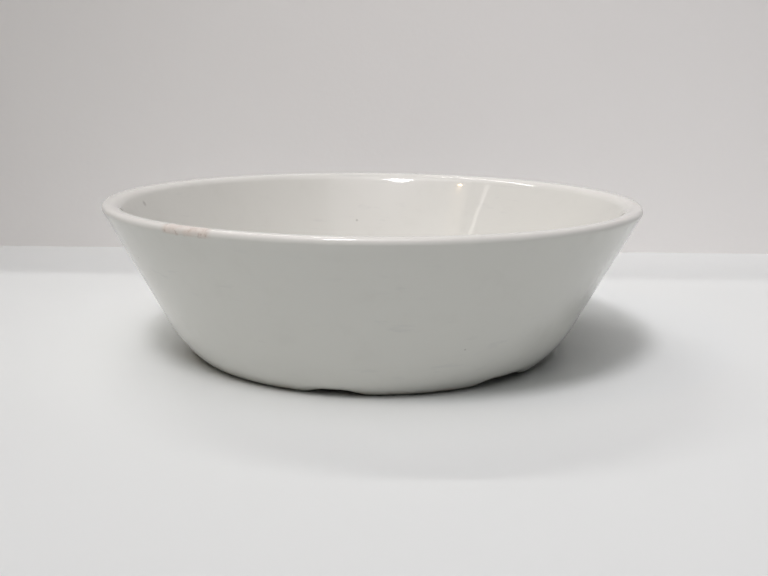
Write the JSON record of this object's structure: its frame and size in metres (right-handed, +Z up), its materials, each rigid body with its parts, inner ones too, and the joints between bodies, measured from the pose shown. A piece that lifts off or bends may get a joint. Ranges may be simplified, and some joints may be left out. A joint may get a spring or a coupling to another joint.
{
  "type": "evaporating dish",
  "caption": "Wide, shallow glazed porcelain dish with a flat floor, flaring wall, rounded lip and a low notched foot ring, for evaporating liquids over gentle heat.",
  "frame": {"origin": "centre of the foot ring's contact plane, on the dish's axis", "axes": "+Z up along the dish's axis; -Y towards the side that the picture shows, +X to that view's right"},
  "size_m": [0.2, 0.2, 0.057],
  "materials": {
    "biscuit": "fired and unglazed, matt, faintly warm off-white",
    "glaze": "clear gloss glaze over white clay, with fine specks and light wear"
  },
  "bodies": {
    "root": {"bowl_body": "biscuit", "foot_ring": "biscuit", "glaze_coat": "glaze", "base_glaze": "glaze"}
  },
  "joints": []
}
